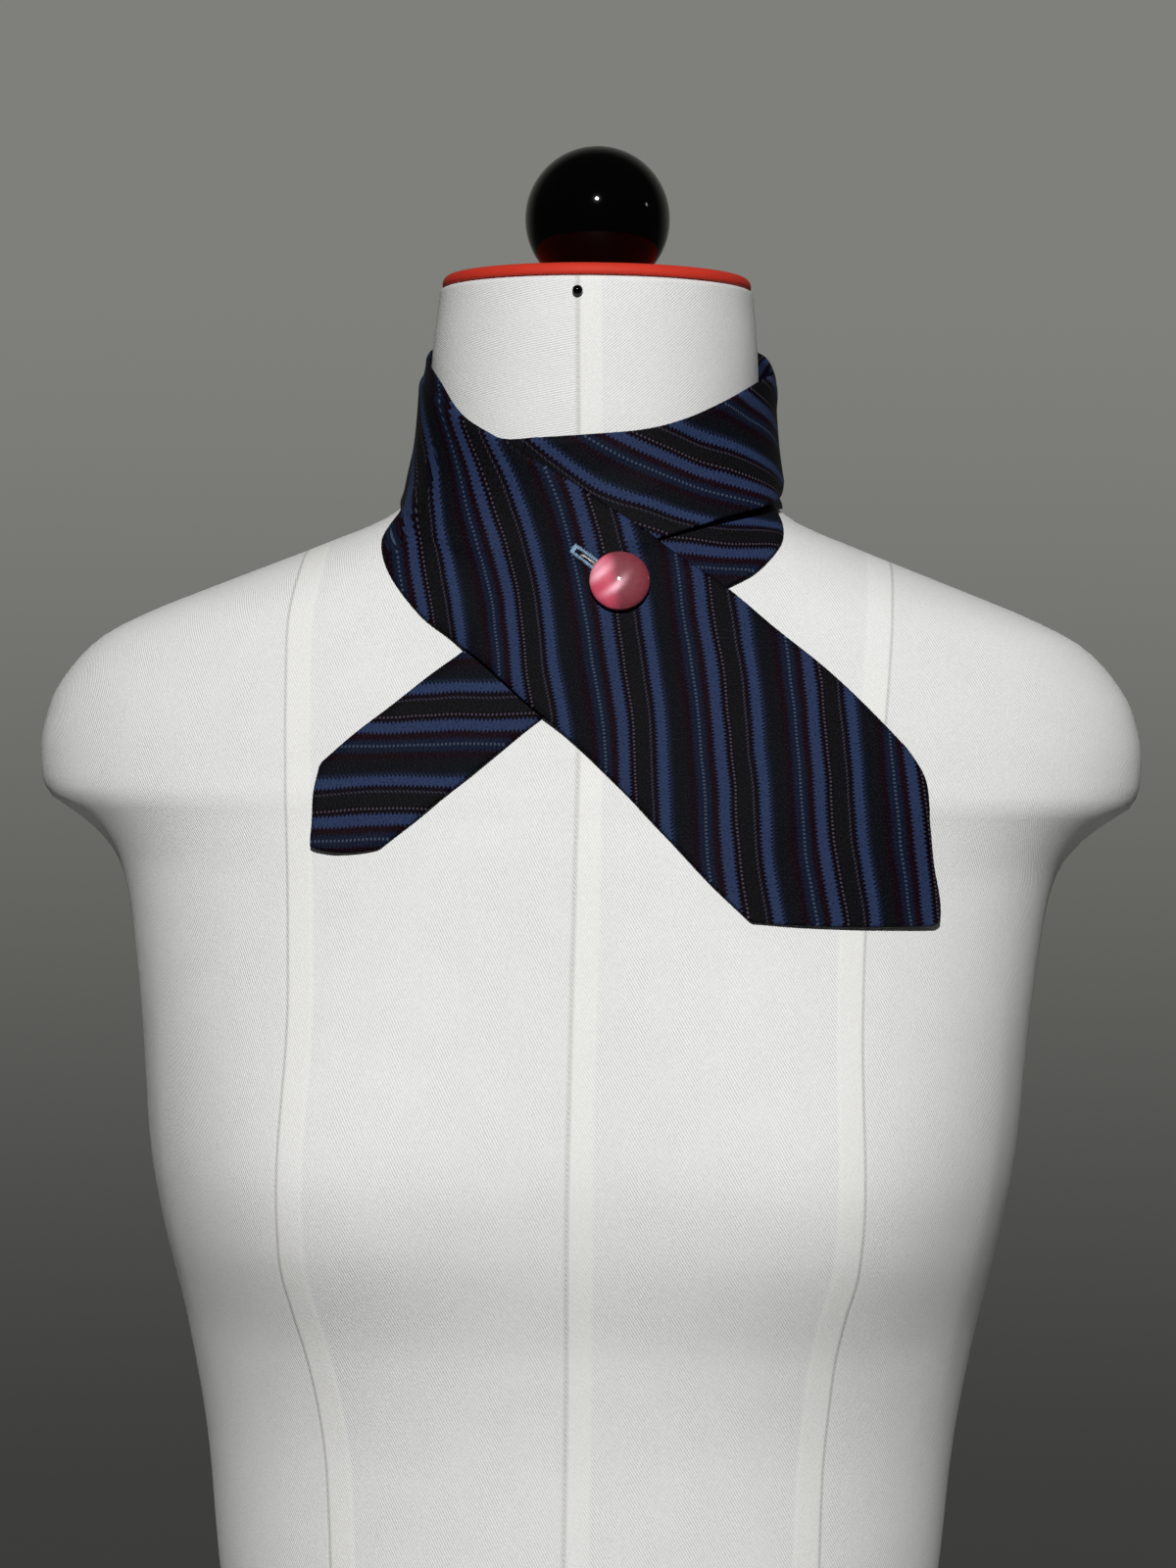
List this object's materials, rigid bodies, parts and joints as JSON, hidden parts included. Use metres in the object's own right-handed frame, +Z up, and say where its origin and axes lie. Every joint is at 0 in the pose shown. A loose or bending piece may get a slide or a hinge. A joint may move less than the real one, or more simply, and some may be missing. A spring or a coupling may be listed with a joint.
{
  "type": "tie scarf on a dress form",
  "caption": "Folded striped necktie worn as a short scarf, wound round the neck of a limbless dress form, its wide end crossed over the narrow end and closed by a domed button.",
  "frame": {"origin": "middle of the flat underside of the dress form, on the axis of its neck", "axes": "+Z up, -Y the way the form faces, +X to the right as seen from the front"},
  "size_m": [0.4088, 0.2417, 0.7774],
  "materials": {
    "cover": "white cotton twill cover",
    "cap_red": "red satin-covered neck cap",
    "gloss_black": "black gloss",
    "tie_silk": "dark woven silk with blue, black and wine-red stripes",
    "button_pink": "pearly raspberry pink",
    "buttonhole_thread": "light blue cotton thread"
  },
  "bodies": {
    "root": {"form_torso": "cover", "form_neck_cap": "cap_red", "form_ball": "gloss_black", "scarf_tail_end": "tie_silk", "scarf_inner_turn": "tie_silk", "scarf_outer_turn": "tie_silk", "scarf_front_blade": "tie_silk", "button": "button_pink"}
  },
  "joints": []
}
